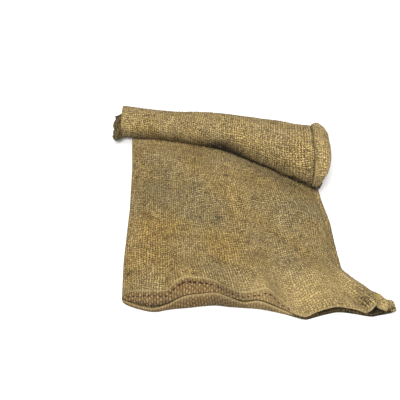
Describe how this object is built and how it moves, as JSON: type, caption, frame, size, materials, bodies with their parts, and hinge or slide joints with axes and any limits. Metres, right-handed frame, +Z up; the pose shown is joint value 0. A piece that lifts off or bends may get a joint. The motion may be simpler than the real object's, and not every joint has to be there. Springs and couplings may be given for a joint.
{
  "type": "hessian sandbag",
  "caption": "Empty hessian sandbag of open plain weave, rolled up from its sewn end, with its loose end and hemmed mouth lying open in front.",
  "frame": {"origin": "middle of the underside of the box round the bag, on the surface that it rests on", "axes": "+Z up, the mouth towards -Y, the roll along X at the +Y side with its seamed end towards +X"},
  "size_m": [0.3894, 0.3964, 0.0824],
  "materials": {
    "hessian": "coarse open plain weave of natural jute, matt and hairy"
  },
  "bodies": {
    "root": {"sack": "hessian"}
  },
  "joints": []
}
